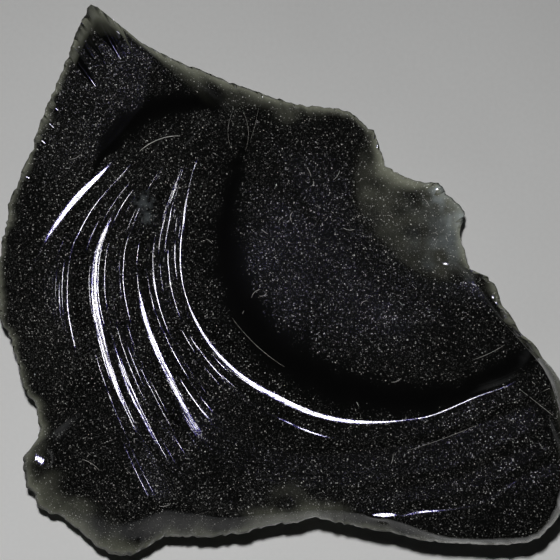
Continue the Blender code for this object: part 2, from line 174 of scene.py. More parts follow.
# Shock ripples, from the rim outwards. First the ripple's level in the fan, then rows:
# bearing, how far out in the fan, how level its crest is, and half the crest's width.
RIPPLES = (
    # Round the rim of the hollow.
    (0.1, (180, -0.6, 0, 0.05), (192, -0.4, 0, 0.05), (205, -0.1, 0.2, 0.1),
     (215, 0.1, 0.6, 0.15), (226, 0.15, 0.8, 0.2), (237, 0.15, 0.87, 0.25),
     (245, 0.17, 0.96, 0.36), (253, 0.18, 1, 0.4), (266, 0.16, 1, 0.36),
     (276, 0.15, 1, 0.3), (286, 0.08, 1, 0.15), (293, 0.05, 0.7, 0.08),
     (305, 0.05, 0.4, 0.06), (312, 0.05, 0.6, 0.06), (320, 0.05, 0.7, 0.06),
     (327, 0.05, 0.5, 0.05), (335, 0.05, 0.1, 0.05)),
    # The thin line just outside it.
    (1.3, (166, 0.3, 0, 0.02), (178, 0.3, 0.3, 0.02), (188, 0.5, 0.5, 0.03),
     (202, 0.9, 0.6, 0.03), (221, 1.25, 0.65, 0.04), (237, 1.5, 0.85, 0.05),
     (249, 1.5, 0.95, 0.08), (258, 1.5, 1, 0.12), (268, 1.8, 0.95, 0.1),
     (276, 2.0, 0.5, 0.05), (290, 2.0, 0, 0.05)),
    (4.0, (200, 4.3, 0, 0.05), (207, 4.4, 0.6, 0.04), (214, 4.3, 0.85, 0.05),
     (224, 4.0, 0.8, 0.05), (230, 3.9, 0.2, 0.05), (260, 3.5, 0, 0.05),
     (280, 2.9, 0.2, 0.04), (289, 2.9, 0.9, 0.05), (298, 2.8, 0.86, 0.05),
     (308, 2.9, 0.92, 0.06), (314, 3.0, 0.1, 0.05)),
    # The ripples that fan down the left side, from the inside out.
    (5.6, (180, 5.4, 0, 0.05), (190, 5.4, 0.7, 0.08), (196, 5.4, 0.88, 0.12),
     (204, 5.5, 1, 0.34), (214, 5.5, 1, 0.44), (223, 5.6, 1, 0.38), (230, 5.9, 1, 0.26),
     (238, 6.1, 0.94, 0.16), (245, 6.1, 0.6, 0.08), (252, 6.0, 0, 0.05)),
    (6.9, (196, 6.8, 0, 0.04), (205, 6.8, 0.7, 0.04), (214, 6.7, 0.88, 0.06),
     (224, 6.9, 0.88, 0.06), (232, 7.2, 0.8, 0.05), (240, 7.3, 0.2, 0.05),
     (280, 7.0, 0, 0.05)),
    (7.9, (178, 8.0, 0.2, 0.03), (188, 7.9, 0.9, 0.05), (196, 7.9, 0.93, 0.06),
     (204, 7.9, 0.85, 0.05), (214, 7.9, 0.3, 0.03), (222, 7.9, 0, 0.05), (257, 8.0, 0, 0.1),
     (266, 8.0, 0.5, 0.05), (273, 8.2, 0.85, 0.06), (279, 8.6, 0.85, 0.06),
     (285, 8.8, 0.1, 0.05)),
    (9.0, (170, 9.2, 0, 0.03), (180, 9.0, 0.7, 0.04), (190, 8.9, 0.9, 0.06),
     (200, 8.9, 0.95, 0.09), (208, 9.0, 0.8, 0.06), (216, 9.0, 0.2, 0.03),
     (255, 9.1, 0, 0.05), (278, 9.7, 0.1, 0.05), (284, 9.9, 0.9, 0.12),
     (288, 9.9, 0.98, 0.16), (292, 10.1, 0.93, 0.07), (298, 10.4, 0.9, 0.05),
     (306, 9.9, 0.92, 0.05), (311, 9.6, 0.1, 0.05)),
    (9.9, (180, 9.7, 0, 0.04), (188, 9.7, 0.8, 0.05), (200, 9.8, 0.84, 0.06),
     (212, 10.1, 0.98, 0.14), (220, 10.2, 1, 0.22), (227, 10.1, 1, 0.22),
     (233, 10.0, 0.9, 0.12), (240, 9.9, 0.2, 0.05), (280, 11.0, 0, 0.1),
     (300, 11.4, 0, 0.1)),
    (11.1, (155, 11.2, 0, 0.05), (163, 11.2, 0.6, 0.06), (171, 11.2, 0.85, 0.08),
     (177, 11.0, 0.92, 0.14), (182, 11.0, 1, 0.28), (190, 11.1, 1, 0.4),
     (200, 11.2, 1, 0.38), (211, 11.3, 1, 0.34), (218, 11.3, 0.99, 0.22),
     (226, 11.1, 0.94, 0.14), (234, 10.9, 0.88, 0.1), (242, 10.9, 0.1, 0.05),
     (280, 12.4, 0, 0.1), (300, 12.8, 0, 0.1)),
    (12.8, (150, 12.2, 0.2, 0.03), (158, 12.6, 0.88, 0.05), (166, 13.0, 0.92, 0.06),
     (176, 13.2, 0.93, 0.07), (185, 12.9, 0.92, 0.06), (194, 12.9, 0.85, 0.05),
     (206, 13.0, 0.7, 0.04), (215, 13.0, 0, 0.04), (280, 14.0, 0, 0.1)),
    (14.8, (148, 14.2, 0.2, 0.05), (159, 15.0, 0.9, 0.07), (169, 15.0, 0.98, 0.12),
     (176, 14.9, 0.98, 0.14), (182, 14.8, 0.8, 0.08), (188, 14.6, 0.1, 0.05),
     (203, 14.3, 0.1, 0.1), (210, 14.4, 0.7, 0.15), (224, 14.8, 0.86, 0.16),
     (234, 14.8, 0.82, 0.1), (242, 14.8, 0.1, 0.05)),
    (18.8, (145, 18.2, 0.3, 0.05), (151, 18.3, 0.85, 0.07), (156, 18.6, 0.85, 0.08),
     (162, 18.8, 0.92, 0.16), (167, 18.7, 1, 0.4), (173, 18.6, 1, 0.52),
     (178, 18.8, 1, 0.4), (183, 19.1, 0.97, 0.2), (187, 19.5, 0.99, 0.24),
     (191, 19.8, 0.7, 0.08), (197, 20.0, 0, 0.05), (215, 19.0, 0, 0.1)),
    (22.0, (140, 22.5, 0.8, 0.05), (155, 22.5, 0.75, 0.05), (165, 22.5, 0.65, 0.05),
     (176, 22.5, 0.3, 0.05), (188, 22.5, 0, 0.1), (300, 22.5, 0, 0.1)),
)

# A crest is crowned by this slope at its sides, and takes up at most this share of the
# way to its neighbours. Beyond it the ground bends down over a length: so much, and so
# much more per half width.
CROWN = 0.02
CREST_SHARE = 0.35
BEND = (0.14, 1.2)

# How strongly the glass is drawn out along the ripples, by bearing, as far as here in
# the fan.
DRAWN = ((0, 0), (146, 0), (156, 0.5), (168, 1), (238, 1), (252, 0.6), (268, 0.25),
         (300, 0.2), (335, 0.1))
DRAWN_END = 17.0

# Small facets where the edge has chipped: two points on the line where the facet
# starts, with the facet on the left of the way from one to the other, and its slope.
# Its line is rounded over CHIP_ROUNDING and fades over CHIP_FADE at both ends.
CHIPS = (
    ((-20.0, 30.2), (-29.0, 29.7), 0.16),
    ((34.6, -17.9), (28.9, -13.5), 0.22),
    ((31.6, -14.1), (34.8, -12.7), 0.30),
    ((-30.0, -22.0), (-27.5, -28.5), -0.10),
)
CHIP_ROUNDING = 0.06
CHIP_FADE = 1.2

# Small facets that lie as the field does, so that they glint with it: middle, radius
# and stretch along X. Then how sharply they end.
GLINTS = (
    (-30.7, -22.7, 1.2, 1.2), (-24.5, 30.2, 0.5, 1.8), (-22.8, 29.9, 0.35, 1.3),
    (25.2, -9.3, 0.3, 2.0), (27.4, -8.0, 0.35, 2.4), (12.4, -29.1, 0.5, 4.0),
    (12.4, -30.2, 0.2, 3.5), (20.5, 2.0, 0.25, 2.0),
)
GLINT_SHARPNESS = 14

# The lens-shaped scar near the upper edge: middle, half width and length, turn, depth.
LENS = (-4.8, 18.9)
LENS_SIZE = (2.0, 3.6)
LENS_TURN = 8.0
LENS_DEPTH = 0.09

# Waviness of the upper face, long and short, and of the edge in plan: height and length
# of the waves. The edge also rises and falls by a share of its raggedness.
SWELL = (0.010, 7.0)
SHIVER = (0.0012, 0.9)
EDGE_WAVES = ((0.12, 2.6), (0.07, 1.1), (0.04, 0.6))
EDGE_RISE = 0.15
EDGE_RISE_LENGTH = 1.6

# Rings of the fractures below: the spot that they run round, the height of a ring and
# the distance between rings.
RING_MIDDLE = (44, 30)
RING_HEIGHT = 0.035
RING_SPACING = 2.6

# The grid: spokes, and rows of points over the hollow, the field and the underside.
SPOKES = 620
HOLLOW_ROWS = 16
FIELD_ROWS = 104
UNDER_ROWS = 19

# --- What the light and the years have left on it ---

# Glass under about 2 mm thick lets light through, painted into its colour as a glow: how far
# in from the edge, by bearing.
GLOW = (
    (0, 0.9), (20, 1.3), (45, 1.8), (60, 0.9), (72, 0.5), (90, 0.6), (110, 0.9),
    (122, 1.3), (131, 2.8), (134, 3.2), (138, 1.0), (145, 0.4), (170, 0.4), (205, 0.35),
    (213, 0.7), (220, 1.7), (235, 1.6), (242, 0.9), (252, 0.9), (260, 2.2), (267, 1.2),
    (275, 0.6), (290, 0.35), (312, 0.5), (320, 1.2), (330, 0.6), (345, 0.4),
)

# The light dies away from the edge with this power of the distance, and the flake scar
# lets this much through all over.
GLOW_POWER = 1.5
SCAR_GLOW = 0.12

# Bands that hold hardly any dust, because they are steep: bearing, radius, half width.
# Then the share of the dust that their middle lacks, and the dust under the stone.
CLEAN_BANDS = (
    ((126, 21.0, 0), (134, 22.6, 1.6), (143, 26.0, 2.2), (151, 28.6, 2.0),
     (160, 29.8, 1.2), (166, 30.5, 0)),
    ((118, 17.5, 0), (140, 14.5, 0.5), (160, 13.3, 1.1), (191, 12.9, 1.9),
     (225, 14.4, 2.4), (255, 17.2, 2.7), (277, 19.8, 2.6), (306, 25.3, 1.7),
     (330, 29.6, 1.0), (336, 31.5, 0)),
)
CLEANNESS = 0.85
UNDER_DUST = 0.12

# Patches with more dust, and milky patches: pale bluish spots that paint crushed glass and, as
# a painted highlight, the blue-white glint on it. Each: middle, radius, amount.
DUST_PATCHES = (
    (15.0, 7.5, 4.0, 0.3), (12.0, 8.0, 2.0, 1.8), (13.8, 4.0, 2.0, 0.7),
    (21.0, 9.5, 4.5, 0.6), (20.0, 3.0, 3.0, 0.6), (-10.5, 10.5, 2.5, 0.5),
    (-10.0, 20.5, 1.1, 1.6),
    (12.0, -24.0, 6.0, 0.2), (-30.0, -8.0, 9.0, 0.7), (-27.0, 19.0, 9.0, 0.5),
    (-20.0, -29.0, 6.0, 0.5), (-12.0, -31.0, 3.5, 1.3), (-4.0, -30.5, 3.5, 1.3),
    (4.0, -29.0, 3.0, 0.9), (24.0, -15.0, 4.0, 0.4),
)
MILKY_GLINT_PATCHES = ((20.8, 11.0, 1.5, 0.8), (-17.4, 9.6, 0.9, 0.18), (-16.8, 7.6, 0.6, 0.25),
                 (22.8, 8.2, 1.2, 0.5), (21.5, 6.0, 3.2, 0.3))

# Dust lies as three sizes of specks and a thin film. For each size: the width of a cell
# of its pattern, the amount of dust at which cells start to hold a speck, the largest
# speck in cells, and the power of its random brightness. A cover is the most that the
# finer specks and the film hide of the glass.
HAZE_SPECKS = (0.12, 0.20, 0.50, 1.5)
FINE_SPECKS = (0.20, 0.25, 0.40, 4.0)
COARSE_SPECKS = (0.55, 0.76, 0.15, 2.0)
HAZE_COVER = 0.08
FINE_COVER = 0.75
FILM_COVER = 0.003
# Specks are bent by this length, and stand this high.
SPECK_BEND = 0.28
SPECK_HEIGHT = 0.012

# Striations along the ripples: how many per millimetre across and along, the noise above
# which a ridge stands, and height. Then the grain of the glass: how many per metre, height.
STRIATIONS = ((4.6, 0.12, 0.0, 0.004), (2.4, 0.045, 0.54, 0.10))
GRAIN = (6500.0, 0.0018)

# Lint: how many loose fibres, how far they spread in rim radii, their length, greatest
# bend and thickness, and the ones that stand out: middle, bearing, length and bend.
LINT_COUNT = 26
LINT_SPREAD = 1.5
LINT_LENGTH = (0.4, 1.6)
LINT_BEND = 120
LINT_THICKNESS = 0.05
LINT_SEEN = (
    (-26.2, 15.4, 20, 1.7, 70), (14.2, -12.6, 20, 1.4, 60), (-23.8, -23.0, -30, 2.6, -40),
    (-14.5, -28.0, 10, 1.5, 50), (-16.5, -30.3, -45, 1.2, 20),
)
# Painted highlights: pale strips laid along hairline cracks, which stand for the cracks' thin
# glints: middle, bearing, length, bend and thickness.
GLINT_SEAMS = (
    (-15.5, 17.4, 22, 5.6, -45, 0.10), (31.9, -15.6, -38, 6.6, 0, 0.035),
    (33.1, -13.4, 23, 2.2, 0, 0.03), (25.8, -9.1, 25, 4.3, 15, 0.04),
    (-3.2, -8.0, -44, 9.0, 23, 0.03), (19.8, -19.6, 20, 9.4, 8, 0.03),
    (-6.6, 18.6, 92, 5.4, -50, 0.02), (-4.5, 18.8, 92, 5.4, 50, 0.02),
    (-3.5, 19.4, 76, 4.6, 10, 0.02),
)
# The points along a fibre or a crack, and round it.
LINT_POINTS = 13
LINT_SIDES = 5
SEED = 7

# --- The stage ---

# The camera looks straight down: where it stands, and the angle that it takes in.
CAMERA_SPOT = (-0.29, -0.07, 300.0)
FIELD_OF_VIEW = 13.67
# How far the flash stands beside the lens.
FLASH_OFFSET = (-12.0, 58.0)

# The tent is pale below the first pair of sines of the height above the horizon, and on
# the +Y side, as bounded by the last pair of sines, below the second pair. Between each
# pair it fades. Then how bright it is, and how much less so for matt surfaces.
TENT_LOW = (0.03, 0.18)
TENT_WINDOW = (0.36, 0.46)
TENT_WINDOW_SIDE = (0.2, 0.6)
TENT_STRENGTH = 0.6
TENT_LESS_ON_MATT = 0.94

# The card: how much darker its clouds and its tooth make it, and how painted shade darkens it
# per metre along X and Y. Its glow rises between two distances from the stone, in metres.
CARD_SHADE = 0.36
CARD_CLOUDS = 0.16
CARD_TOOTH = 0.12
CARD_PAINTED_FALL = (2.0, 12.0)
COVE_START = 0.10
COVE_END = 0.45
COVE_GLOW = 0.34


def linear(hex_colour):
    """An sRGB hex colour as linear numbers, with full alpha."""
    parts = np.array([int(hex_colour[i : i + 2], 16) for i in (1, 3, 5)]) / 255
    parts = np.where(parts <= 0.04045, parts / 12.92, ((parts + 0.055) / 1.055) ** 2.4)
    return (*parts.tolist(), 1.0)


# --- Shape ---


def evened(ring, half):
    """A ring of values, each the weighted mean of this many neighbours on either side."""
    weight = np.hanning(2 * half + 3)[1:-1]
    ring = np.concatenate([ring[-half:], ring, ring[:half]])
    return np.convolve(ring, weight / weight.sum(), "valid")


def around(table, bearing, spread=6.0):
    """A value that changes with bearing, read from a table whose corners are rounded."""
    rows = np.array(table, float)
    step = 0.5
    turn = np.arange(0.0, 360.0, step)
    line = np.interp(turn, rows[:, 0], rows[:, 1], period=360)
    return np.interp(bearing, turn, evened(line, int(spread / step)), period=360)


def flowing(at, rows, column):
    """A smooth line through a column of a table over its first column: on each stretch
    the cubic whose ends have the mean slopes of their neighbours. Beyond the ends it
    keeps the end value."""
    knots, values = rows[:, 0], rows[:, column]
    slopes = np.gradient(values, knots)
    at = np.clip(at, knots[0], knots[-1])
    i = np.clip(np.searchsorted(knots, at) - 1, 0, len(knots) - 2)
    span = knots[i + 1] - knots[i]
    t = (at - knots[i]) / span
    start = values[i] * (1 + 2 * t) * (1 - t) ** 2 + slopes[i] * span * t * (1 - t) ** 2
    end = values[i + 1] * t**2 * (3 - 2 * t) - slopes[i + 1] * span * t**2 * (1 - t)
    return start + end


def softly(value, rounding):
    """The positive part of a value, its corner rounded over the given length."""
    return rounding * np.logaddexp(0, value / rounding)


def waves(x, y, length, seed, count=16):
    """Smooth random relief with a spread of about 1: the sum of plane waves of about the
    given length, each with a random bearing and phase."""
    draw = np.random.default_rng(seed)
    turn = draw.uniform(0, 2 * np.pi, count)
    phase = draw.uniform(0, 2 * np.pi, count)
    pitch = 2 * np.pi / (length * draw.uniform(0.7, 1.5, count))
    total = 0.0
    for a, b, k in zip(turn, phase, pitch):
        total = total + np.sin(k * (x * np.cos(a) + y * np.sin(a)) + b)
    return total * np.sqrt(2 / count)


def slope_plane(height, slope, dx, dy):
    """Height of a tilted plane: its height at the middle plus slope times distance."""
    return height + slope[0] * dx + slope[1] * dy


def terraces(out, bearing, fan):
    """A flight of low terraces that follow the ripples. A crest is a crowned tread at the
    ripple's own level, so it keeps the slope of the ground all along the ripple. Between
    two crests the ground falls evenly, with a bend next to each crest over which the
    slope changes with the square of the distance."""
    level = [-SINK * ripple[0] for ripple in RIPPLES]
    rows = [np.array(ripple[1:], float) for ripple in RIPPLES]
    place = [flowing(bearing, row, 1) for row in rows]
    tilt = [-SINK * (1 - np.clip(flowing(bearing, row, 2), 0, 1)) for row in rows]
    wide = [np.interp(bearing, row[:, 0], row[:, 3]) / fan for row in rows]
    gaps = [place[1] - place[0]] + [b - a for a, b in zip(place, place[1:])]
    gaps.append(gaps[-1])
    half = [np.minimum(w, CREST_SHARE * np.minimum(before, after))
            for w, before, after in zip(wide, gaps, gaps[1:])]
    crown = CROWN * fan

    past = out - place[0]
    height = level[0] + tilt[0] * past
    for i in range(len(rows) - 1):
        past, ahead = out - place[i], out - place[i + 1]
        tread = level[i] + tilt[i] * past - crown * past**2 / (2 * half[i])
        height = np.where(past > -half[i], tread, height)
        span = gaps[i + 1] - half[i] - half[i + 1]
        start = level[i] + (tilt[i] - crown / 2) * half[i]
        end = level[i + 1] - (tilt[i + 1] + crown / 2) * half[i + 1]
        bend = [np.minimum(BEND[0] / fan + BEND[1] * half[j], span / 2) for j in (i, i + 1)]
        turned = (tilt[i] - crown) * bend[0] / 3 + (tilt[i + 1] + crown) * bend[1] / 3
        slope = (end - start - turned) / (span - bend[0] / 3 - bend[1] / 3)
        after = np.clip(1 - (past - half[i]) / bend[0], 0, 1)
        before = np.clip(1 + (ahead + half[i + 1]) / bend[1], 0, 1)
        fall = start + slope * (past - half[i])
        fall = fall + (tilt[i] - crown - slope) * bend[0] / 3 * (1 - after**3)
        fall = fall + (tilt[i + 1] + crown - slope) * bend[1] / 3 * before**3
        height = np.where(past > half[i], fall, height)
    height = np.where(ahead > -half[-1], level[-1] + tilt[-1] * ahead, height)
    return height * around(SINK_SHARE, bearing)


def field_height(dx, dy, radius, bearing, rim):
    """The rippled field: a tilted dish with the terraces on it."""
    fan = around(FAN, bearing)
    height = slope_plane(FIELD_HEIGHT, FIELD_SLOPE, dx, dy)
    height = height + (radius**2 - rim**2) / (2 * DISH_RADIUS)
    return height + terraces((radius - rim) / fan, bearing, fan)


def hollow_height(dx, dy, radius, rim):
    """The hollow's floor, with a wall that steepens up to the rim."""
    floor = slope_plane(FLOOR_HEIGHT, FLOOR_SLOPE, dx, dy)
    share = rim / np.maximum(radius, 1e-6)
    rim_top = slope_plane(FIELD_HEIGHT, FIELD_SLOPE, dx * share, dy * share)
    rim_floor = slope_plane(FLOOR_HEIGHT, FLOOR_SLOPE, dx * share, dy * share)
    wall = np.maximum(rim_top - rim_floor, 0.05)
    return floor, floor + wall * (radius / rim) ** WALL_POWER


def polar(x, y, middle):
    """Distance and bearing of points from a middle."""
    dx, dy = x - middle[0], y - middle[1]
    return np.hypot(dx, dy), np.degrees(np.arctan2(dy, dx)) % 360


def from_polar(middle, distance, turn):
    """Points at a distance from a middle, at a bearing in radians."""
    return middle[0] + distance * np.cos(turn), middle[1] + distance * np.sin(turn)


def upper_height(x, y):
    """Height of the upper face before it falls to the edge."""
    dx, dy = x - HOLLOW[0], y - HOLLOW[1]
    radius, bearing = polar(x, y, HOLLOW)
    rim = around(RIM, bearing)
    field = field_height(dx, dy, radius, bearing, rim)
    floor, hollow = hollow_height(dx, dy, radius, rim)
    closed = field - softly(field - hollow, RIM_ROUNDING)
    fall = around(OPEN_FALL, bearing) * softly(radius - OPEN_FALL_START, OPEN_FALL_ROUNDING)
    height = closed + (floor - fall - closed) * around(OPENNESS, bearing)
    height = height + SWELL[0] * waves(x, y, SWELL[1], 33)
    height = height + SHIVER[0] * waves(x, y, SHIVER[1], 34, 24)
    return height - scar_depth(x, y) - lens_depth(x, y)


def scar_share(x, y):
    """0 in the middle of the flake scar and 1 on its boundary."""
    distance, bearing = polar(x, y, SCAR)
    return distance / around(SCAR_RADIUS, bearing, 10)


def scar_depth(x, y):
    """How deep the flake scar bites at a point."""
    return SCAR_DEPTH * np.clip(1 - scar_share(x, y) ** 2, 0, 1)


def lens_depth(x, y):
    """How deep the lens-shaped scar bites: a dish inside a turned oval."""
    turn = np.radians(LENS_TURN)
    dx, dy = x - LENS[0], y - LENS[1]
    across = (dx * np.cos(turn) + dy * np.sin(turn)) / LENS_SIZE[0]
    along = (dy * np.cos(turn) - dx * np.sin(turn)) / LENS_SIZE[1]
    return LENS_DEPTH * np.clip(1 - across**2 - along**2, 0, 1)


def chip_depth(x, y):
    """How deep the small edge facets cut: distance past the facet's line times slope,
    faded out beyond the two ends of the line."""
    depth = 0.0
    for start, end, slope in CHIPS:
        run = np.subtract(end, start)
        length = np.hypot(*run)
        along = ((x - start[0]) * run[0] + (y - start[1]) * run[1]) / length
        past = ((y - start[1]) * run[0] - (x - start[0]) * run[1]) / -length
        ends = np.minimum(along, length - along) / CHIP_FADE
        depth = depth + slope * softly(past, CHIP_ROUNDING) / (1 + np.exp(-4 * ends))
    return depth


def edge_points(chipping):
    """The edge as SPOKES points at even steps along the outline, anticlockwise. Waves of
    a few lengths make it ragged."""
    corners = np.array(OUTLINE)[::-1]
    corners = np.concatenate([corners, corners[:1]])
    run = np.r_[0, np.cumsum(np.hypot(*np.diff(corners, axis=0).T))]
    at = np.linspace(0, run[-1], SPOKES, endpoint=False)
    x, y = (np.interp(at, run, corners[:, axis]) for axis in (0, 1))
    ring = run[-1] / (2 * np.pi)
    u, v = ring * np.cos(at / ring), ring * np.sin(at / ring)
    ragged = sum(h * waves(u, v, length, 40 + i) for i, (h, length) in enumerate(EDGE_WAVES))
    radius, bearing = polar(x, y, HOLLOW)
    x, y = from_polar((x, y), -chipping * np.abs(ragged), np.radians(bearing))
    rise = chipping * EDGE_RISE * waves(u, v, EDGE_RISE_LENGTH, 50)
    height = around(EDGE_HEIGHT, bearing) + rise
    return np.column_stack([x, y, height])


def calmed(values):
    """A ring of values evened out along the edge."""
    return evened(values, len(values) // CALM_SHARE)


def least_near(values):
    """A ring of values, each the least of its neighbours."""
    half = len(values) // CALM_SHARE
    return np.min([np.roll(values, shift) for shift in range(-half, half + 1)], axis=0)


def spokes(edge, middle, out):
    """Bearing and length of the spokes: calm inside, true to the edge at out = 1."""
    reach = edge[:, :2] - middle
    bearing = np.unwrap(np.arctan2(reach[:, 1], reach[:, 0]))
    length = np.hypot(reach[:, 0], reach[:, 1])
    even = np.linspace(0, 2 * np.pi, len(edge), endpoint=False)
    calm_bearing = calmed(bearing - even) + even
    calm_length = calmed(least_near(length))
    grip = out**EDGE_GRIP
    turn = calm_bearing + (bearing - calm_bearing) * grip
    return turn, calm_length + (length - calm_length) * grip


def inward_of(edge, middle, turn, radius):
    """Distance of points from the edge, along their own spokes."""
    reach = edge[:, :2] - middle
    bearing = np.arctan2(reach[:, 1], reach[:, 0])
    length = np.interp(turn, bearing, np.hypot(*reach.T), period=2 * np.pi)
    return np.maximum(length - radius, 0)


def brim_drop(edge):
    """How far the edge lies below the upper height, as it is and evened out."""
    brim = upper_height(edge[:, 0], edge[:, 1]) - edge[:, 2]
    return brim, calmed(calmed(calmed(brim)))


def glinting(x, y, height):
    """The height with the glinting facets pressed in: through the middle of each, a plane
    with the field's slope there, which gives way to the height at the facet's border."""
    for px, py, size, stretch in GLINTS:
        dx, dy = x - px, y - py
        away = np.hypot(dx / stretch, dy) / size
        level = height.flat[np.argmin(away)]
        slope = np.add(FIELD_SLOPE, np.subtract((px, py), HOLLOW) / DISH_RADIUS)
        facet = slope_plane(level, slope, dx, dy)
        border = np.minimum((away - 1) * GLINT_SHARPNESS, 50)
        height = height + (facet - height) / (1 + np.exp(border))
    return height


def edge_fall(share, bearing):
    """How much of the drop to the edge a place takes, by its share of the way out."""
    start = around(FALL_START, bearing)
    return np.clip((share - start) / (1 - start), 0, 1) ** around(FALL_POWER, bearing)


def upper_surface(edge):
    """The upper face: rows from the middle to the rim, then from the rim to the edge.
    Along each spoke the height is the upper height less the drop to the edge."""
    inward = np.sin(np.arange(1, HOLLOW_ROWS) / HOLLOW_ROWS * np.pi / 2)
    inside = np.r_[inward, np.ones(FIELD_ROWS)][:, None]
    out = np.r_[np.zeros(HOLLOW_ROWS - 1), np.arange(FIELD_ROWS) / FIELD_ROWS][:, None]
    turn, length = spokes(edge, HOLLOW, out)
    bearing = np.degrees(turn) % 360
    rim = np.minimum(around(RIM, bearing), INNER_LIMIT * length)
    radius = rim * inside + (length - rim) * out
    x, y = from_polar(HOLLOW, radius, turn)
    fall = edge_fall(radius / length, bearing)
    brim, calm_brim = brim_drop(edge)
    drop = calm_brim + (brim - calm_brim) * out**BRIM_GRIP
    height = upper_height(x, y) - chip_depth(x, y) * (1 - out**EDGE_GRIP) - drop * fall
    height = glinting(x, y, height)
    return x, y, height, inward_of(edge, HOLLOW, turn, radius)


def polygon_radius(sides, turn):
    """Distance to the boundary of a convex polygon along a bearing in radians, and how
    much further its next side is."""
    rows = np.array(sides, float)
    facing = np.cos(turn[..., None] - np.radians(rows[:, 0]))
    reach = np.where(facing > 0.05, rows[:, 1] / np.maximum(facing, 0.05), 1e3)
    reach = np.sort(reach, axis=-1)
    return reach[..., 0], reach[..., 1] - reach[..., 0]


def under_surface(edge):
    """The underside: rows from the edge in to the resting facet. Between the rings of
    facets the height runs straight, less a shallow hollow, with rings like those of a
    shell that fade towards the facet's borders."""
    step = np.arange(2 * UNDER_ROWS - 1, -1, -1)[:, None] / UNDER_ROWS
    turn, length = spokes(edge, REST, step / 2)
    rest, rest_next = polygon_radius(REST_SIDES, turn)
    shoulder, shoulder_next = polygon_radius(SHOULDER_SIDES, turn)
    shoulder = np.minimum(shoulder, INNER_LIMIT * length)
    outer = step >= 1
    part = np.where(outer, step - 1, step)
    near = np.where(outer, shoulder, rest)
    far = np.where(outer, length, shoulder)
    low = np.where(outer, SHOULDER_SHARE, 0)
    high = np.where(outer, 1, SHOULDER_SHARE)
    radius = near + (far - near) * part
    x, y = from_polar(REST, radius, turn)
    height = edge[:, 2] * (low + (high - low) * part)
    height = height + FACET_HOLLOW * (far - near) * 4 * part * (1 - part)
    fade = np.clip(4 * part * (1 - part), 0, 1)
    fade = fade * np.clip(np.where(outer, shoulder_next, rest_next) / 2, 0, 1)
    ring = np.hypot(x - RING_MIDDLE[0], y - RING_MIDDLE[1]) + 0.4 * waves(x, y, 9, 61)
    height = height + RING_HEIGHT * fade * np.sin(2 * np.pi * ring / RING_SPACING)
    return x, y, height, inward_of(edge, REST, turn, radius)


def joined_rows(rows, count):
    """Faces between rings of points, with a fan of faces at each end."""
    here = np.arange(count)
    after = (here + 1) % count
    start = 1 + np.arange(rows - 1)[:, None] * count
    quads = [start + here, start + count + here, start + count + after, start + after]
    last = 1 + (rows - 1) * count
    fan = np.column_stack([np.zeros(count, int), 1 + here, 1 + after])
    end = np.column_stack([last + here, np.full(count, last + count), last + after])
    return fan.tolist() + np.stack(quads, -1).reshape(-1, 4).tolist() + end.tolist()


# --- What the surface carries ---


def glow_share(x, y, inward, bearing):
    """How much painted light comes through the thin glass: it dies away from the edge, and the
    flake scar is thin all over."""
    band = around(GLOW, bearing) * (1 + 0.25 * waves(x, y, 4.0, 71))
    edge = np.exp(-((inward / np.maximum(band, 0.15)) ** GLOW_POWER))
    scar = SCAR_GLOW / (1 + np.exp((scar_share(x, y) - 0.97) * 40))
    return np.clip(edge + scar * (1 + 0.3 * waves(x, y, 3.5, 72)), 0, 1)


def patches(x, y, table):
    """The sum of round patches, each with a soft border."""
    total = 0.0
    for px, py, size, amount in table:
        ragged = size * (1 + 0.3 * waves(x, y, size, 81))
        total = total + amount * np.exp(-((x - px) ** 2 + (y - py) ** 2) / ragged**2)
    return total


def dust_share(x, y):
    """How much dust lies there: none in the clean bands, more in the patches."""
    radius, bearing = polar(x, y, HOLLOW)
    share = 1 + patches(x, y, DUST_PATCHES)
    for band in CLEAN_BANDS:
        rows = np.array(band, float)
        half = np.maximum(flowing(bearing, rows, 2), 0.05)
        half = half * (1 + 0.15 * waves(x, y, 3.0, 82))
        off = (radius - flowing(bearing, rows, 1)) / half
        share = share * (1 - CLEANNESS * np.exp(-(off**2)))
    return share


def flow_lines(x, y):
    """Coordinates that run with the ripples: how far out in the fan, how far along it on a
    circle of 30 mm, and how strongly the glass is drawn out. It is drawn out from just
    inside the rim to DRAWN_END."""
    radius, bearing = polar(x, y, HOLLOW)
    rim = around(RIM, bearing)
    outward = (radius - rim) / around(FAN, bearing)
    along = np.radians((bearing - 60) % 360) * 30
    strength = around(DRAWN, bearing) / (1 + np.exp(-(radius - rim + 1.5) * 2))
    return outward, along, strength / (1 + np.exp((outward - DRAWN_END) * 1.5))


def store(mesh, name, kind, field, values):
    """Stores a value for each point of the mesh, for the material to read."""
    attribute = mesh.attributes.new(name, kind, "POINT")
    attribute.data.foreach_set(field, np.asarray(values, np.float32).ravel())


